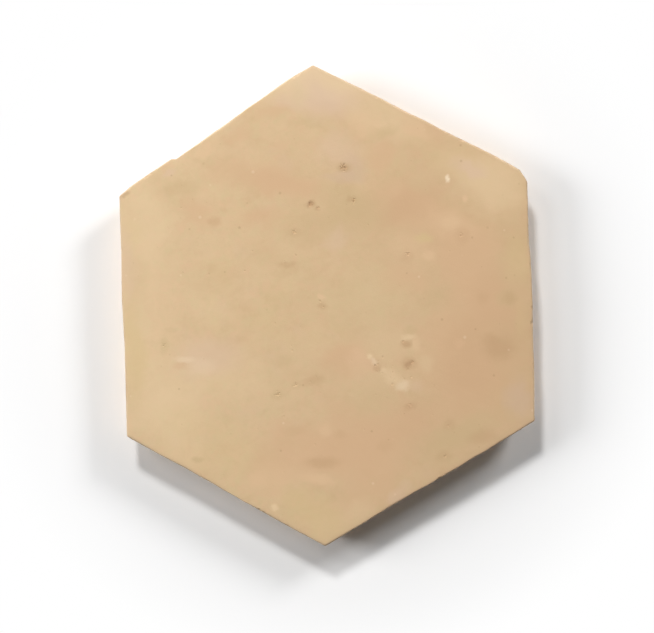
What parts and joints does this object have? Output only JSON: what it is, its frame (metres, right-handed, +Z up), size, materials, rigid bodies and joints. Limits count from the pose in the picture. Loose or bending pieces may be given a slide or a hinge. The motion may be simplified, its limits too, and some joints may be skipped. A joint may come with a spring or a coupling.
{
  "type": "hexagon floor tile",
  "caption": "Hand-cut six-sided floor tile of unglazed fired clay, with a gently crowned face, worn edge and undercut sides.",
  "frame": {"origin": "middle of the tile's outline, on its bed", "axes": "+Z up out of the face, +Y towards the top corner between two sides, +X across the flats to the right"},
  "size_m": [0.1288, 0.151, 0.013],
  "materials": {
    "fired_clay": "unglazed buff clay, matt, mottled, with fine pits"
  },
  "bodies": {
    "root": {"tile": "fired_clay"}
  },
  "joints": []
}
